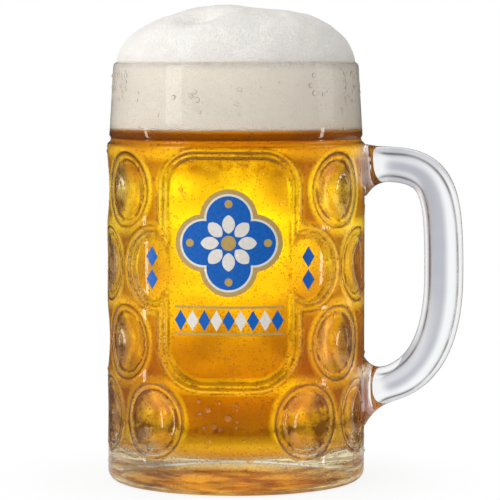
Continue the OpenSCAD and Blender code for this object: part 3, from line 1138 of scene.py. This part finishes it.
# Points of one drop in rows, its top last, how far up each point lies, and its faces
def waterCap(place, outward, radius, first):
    sides, rows = runDrops["sides"], runDrops["rows"]
    facing = outward.to_track_quat("Z", "Y")
    points, lifts, faces = [], [], []
    for k in range(rows):
        tilt = math.pi / 2 * k / rows
        reach = radius * math.cos(tilt)
        rise = radius * dropSizes["Flatness"] * math.sin(tilt)
        for i in range(sides):
            angle = 2 * math.pi * i / sides
            points.append(place + facing @ Vector((reach * math.cos(angle), reach * math.sin(angle), rise)))
            lifts.append(math.sin(tilt))
    points.append(place + outward * radius * dropSizes["Flatness"])
    lifts.append(1.0)
    top = first + rows * sides
    for i in range(sides):
        j = (i + 1) % sides
        for low in range(first, top - sides, sides):
            faces.append((low + i, low + j, low + sides + j, low + sides + i))
        faces.append((top - sides + i, top - sides + j, top))
    return points, lifts, faces


def growRunDrops():
    pick = random.Random(dropSizes["Seed"])
    points, lifts, faces = [], [], []
    for zone in runDrops["zones"]:
        for _ in range(zone["count"]):
            turn = math.radians(pick.uniform(*zone["angles"]))
            outward = Vector((math.sin(turn), -math.cos(turn), 0))
            height = Vector((0, 0, pick.uniform(*zone["heights"]) * mm))
            place = outward * (bodyRadius - zone["inset"]) + height
            radius = zone["radius"] * pick.uniform(*runDrops["sizes"])
            drop = waterCap(place, outward, radius, len(points))
            points += drop[0]
            lifts += drop[1]
            faces += drop[2]
    mesh = bpy.data.meshes.new("run_drops")
    mesh.from_pydata(points, [], faces)
    mesh.attributes.new("lift", "FLOAT", "POINT").data.foreach_set("value", lifts)
    mesh.shade_smooth()
    mesh.materials.append(water)
    print("larger drops made:", len(mesh.polygons), "faces")
    return newPiece("larger_drops", mesh)


def growDrops():
    tree, size = startTree("condensation", dropSizes)
    source = size["Geometry"]
    spot = source.node("GeometryNodeInputPosition")
    x, y, z = split(spot)
    facing = dot(source.node("GeometryNodeInputNormal"), spot)
    outside = (root(x * x + y * y) > size["Outer Radius"]) * (facing > 0.0)
    outside = outside * (z > size["Lowest"]) * (z < size["Highest"])
    misted = noiseAt(spot, size["Patch Scale"], 3.0).rise(0.35, 0.7)
    points = source.node("GeometryNodeDistributePointsOnFaces", None, {
        "Mesh": source,
        "Selection": outside,
        "Density": size["Drops"] * (size["Fewest"] + (1 - size["Fewest"]) * misted),
        "Seed": size["Seed"],
    })
    radius = mostlySmall(size, chanceOf(size["Size Seed"]))
    cap = passOn(smallBall(source), "DeleteGeometry", Selection=z < -0.01)  # upper half
    cap = source.node("GeometryNodeStoreNamedAttribute", {"data_type": "FLOAT", "domain": "POINT"}, {
        "Geometry": cap,
        "Name": "lift",
        "Value": z,
    })
    drops = source.node("GeometryNodeInstanceOnPoints", None, {
        "Points": points,
        "Instance": cap,
        "Rotation": points.also("Rotation"),
        "Scale": joined(radius, radius, radius * size["Flatness"]),
    })
    endTree(drops, water)
    drops = newPiece("condensation_drops", wall.data.copy())
    growMesh(drops, tree, dropSizes)
    return drops


drops = growDrops()
largerDrops = growRunDrops()

for piece, node, slot in (
    (wall, "glass_body", "glass"),
    (handle, "handle", "glass"),
    (beer, "beer", "beer"),
    (foam, "foam_head", "foam"),
    (drops, None, "glass"),
    (largerDrops, None, "glass"),
):
    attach(piece, "root")
    if node:
        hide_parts(node)
print("pieces ride on the body")


# Studio: a pale floor, a white room with darker corners, soft boxes on the rim band, strips in the dimples
strip = dict(distance=1.1, lift=-0.14, width=0.07, height=0.46, radiance=7, glintOnly=True)
studio = dict(
    floorRadius=0.13,
    floorDrop=0.3 * mm,
    floorTone=(0.9, 0.9, 0.9, 1),
    floorRough=0.9,
    floorWhite=0.88,
    floorFade=(0.4, 0.95),
    ambient=0.44,
    keyLight=0.92,
    keyFrom=(-0.62, -0.5, 0.6),
    backCard=1.7,
    throughGlass=1.0,
    mirrorRoom=0.05,
    mirrorSides=0.12,
    mirrorFrom=(0.75, 0.95),
    beerCrossings=3.5,
    darkCorner=0.4,
    cornerFade=(-1.0, 0.0),
    groundFrom=(-0.34, -0.26),
    heights=(
        (-26, 1), (-21, 0.5), (-14, 0.5), (-9, 1), (4, 1),
        (9, 0.5), (18, 0.5), (25, 0.7), (60, 0.7), (75, 0.3),
    ),
    roomTones=(
        (0.0, (0.05, 0.018, 0.004, 1)),
        (0.25, (0.3, 0.13, 0.035, 1)),
        (0.5, (0.62, 0.36, 0.14, 1)),
        (0.75, (0.88, 0.68, 0.42, 1)),
        (1.0, (1, 1, 1, 1)),
    ),
    sideShade=0.52,
    sideFrom=(-0.15, 0.05),
    sideTo=(0.55, 0.7),
    sideLevel=(0.03, 0.2),
    upShade=0.3,
    upFrom=(0.2, 0.55),
    clearTones=(
        (0.0, (0.04, 0.016, 0.005, 1)),
        (0.15, (0.26, 0.15, 0.06, 1)),
        (0.32, (0.46, 0.42, 0.39, 1)),
        (0.5, (0.5, 0.51, 0.56, 1)),
        (1.0, (0.95, 0.97, 0.98, 1)),
    ),
    lampAim=rimHeight * 0.6,
    softBoxes=(
        dict(name="left", azimuth=-55, distance=1.3, lift=0.66, width=0.42, height=0.95, radiance=1.9),
        dict(name="right", azimuth=93, distance=1.3, lift=0.66, width=0.5, height=0.95, radiance=0.8),
        dict(strip, name="left_strip", azimuth=-84),
        dict(strip, name="right_strip", azimuth=86),
    ),
    bounces=dict(max_bounces=24, transmission_bounces=24, glossy_bounces=12, diffuse_bounces=16),
)


def makeFloor():
    s = studio
    mesh = meshFrom("floor", lambda shape: bmesh.ops.create_circle(
        shape, cap_ends=True, segments=96, radius=s["floorRadius"]))
    floor = newPiece("floor", mesh)
    floor.location.z = -s["floorDrop"]
    material, shader, wire, place = newMaterial("pale_floor")
    wire.feed(shader, {"Base Color": s["floorTone"], "Roughness": s["floorRough"]})
    direct = wire.node("ShaderNodeLightPath", output="Is Camera Ray")
    x, y, _ = split(place)
    far = (root(x * x + y * y) / s["floorRadius"]).rise(*s["floorFade"])
    seen = larger(direct, direct.also("Is Transmission Ray"))
    glow = wire.node("ShaderNodeEmission", None, {"Color": (1, 1, 1, 1), "Strength": 1.0})
    mixed = wire.node("ShaderNodeMixShader", None, {
        0: seen * (s["floorWhite"] + far * (1 - s["floorWhite"])),
        1: Wire(wire.tree, shader.outputs[0]),
        2: glow,
    })
    wire.feed(material.node_tree.nodes["Material Output"], {"Surface": mixed})
    mesh.materials.append(material)


def makeWorld():
    s = studio
    world = bpy.data.worlds.new("studio")
    bpy.context.scene.world = world
    world.use_nodes = True
    wire = Wire(world.node_tree)
    way = wire.node("ShaderNodeTexCoord", output="Generated")
    x, y, z = split(way)
    flat = x * x + y * y
    twice = (x * x - y * y) / larger(flat, 1e-6)
    fourfold = 2 * twice * twice - 1
    eightfold = 2 * fourfold * fourfold - 1
    corners = larger(eightfold.rise(*s["cornerFade"]), 1 - z.rise(*s["groundFrom"]))
    band = wire.node("ShaderNodeFloatCurve", {"heights": s["heights"]}, {"Value": z * 0.5 + 0.5})
    room = (s["darkCorner"] + (1 - s["darkCorner"]) * corners) * band
    direct = wire.node("ShaderNodeLightPath", output="Is Camera Ray")
    indirect = larger(direct.also("Is Glossy Ray"), direct.also("Is Transmission Ray"))
    mirror = direct.also("Is Reflection Ray")
    behind = ramp(room, s["roomTones"])
    aside = x.rise(*s["sideFrom"]) * (1 - x.rise(*s["sideTo"]))
    aside = aside * (1 - 0.5 * abs(z).rise(*s["sideLevel"]))
    lit = (1 - s["sideShade"] * aside) * (1 - s["upShade"] * abs(z).rise(*s["upFrom"]))
    clear = ramp(lit, s["clearTones"])
    beery = direct.also("Transmission Depth") > s["beerCrossings"]
    flank = s["mirrorSides"] * abs(x).rise(*s["mirrorFrom"]) + s["mirrorRoom"]
    shown = blendColours(mirror, blendColours(beery, clear, behind), flank)
    dome = s["ambient"] + larger(dot(way, s["keyFrom"]), 0.0) * s["keyLight"]
    dome = dome * (1 + indirect * s["throughGlass"])
    glassy = indirect * (direct.also("Diffuse Depth") < 0.5)
    light = blendColours(glassy, dome, shown)
    wire.feed(world.node_tree.nodes["Background"], {
        "Color": blendColours(direct, light, (1, 1, 1, 1)),
        "Strength": 1 + glassy * beery * (1 - mirror) * s["backCard"],
    })


def makeLamps():
    for box in studio["softBoxes"]:
        lamp = bpy.data.lights.new("softbox_" + box["name"], "AREA")
        lamp.shape = "RECTANGLE"
        lamp.size = box["width"]
        lamp.size_y = box["height"]
        lamp.energy = box["radiance"] * math.pi * box["width"] * box["height"]
        stand = newPiece(lamp.name, lamp)
        angle = math.radians(box["azimuth"])
        aim = Vector((0, 0, studio["lampAim"]))
        spot = Vector((math.sin(angle), -math.cos(angle), 0)) * box["distance"]
        spot.z = box["lift"]
        stand.location = spot
        stand.rotation_euler = (aim - spot).to_track_quat("-Z", "Y").to_euler()
        stand.visible_camera = False
        stand.visible_transmission = False
        stand.visible_diffuse = not box.get("glintOnly")


# Camera: level with the rim, a little to the right of the panel's middle
shot = dict(distance=1.2, azimuth=3, height=rimHeight, aimHeight=101.7 * mm, aimRight=6.2 * mm, lens=195)


def makeCamera():
    lens = bpy.data.cameras.new("camera")
    lens.lens = shot["lens"]
    camera = newPiece("camera", lens)
    angle = math.radians(shot["azimuth"])
    right = Vector((math.cos(angle), math.sin(angle), 0))
    back = Vector((math.sin(angle), -math.cos(angle), 0))
    aim = right * shot["aimRight"] + Vector((0, 0, shot["aimHeight"]))
    camera.location = right * shot["aimRight"] + back * shot["distance"] + Vector((0, 0, shot["height"]))
    camera.rotation_euler = (aim - camera.location).to_track_quat("-Z", "Y").to_euler()
    bpy.context.scene.camera = camera


makeFloor()
makeWorld()
makeLamps()
makeCamera()
scene = bpy.context.scene
scene.view_settings.view_transform = "Standard"
for name, count in studio["bounces"].items():
    setattr(scene.cycles, name, count)
print("studio set")
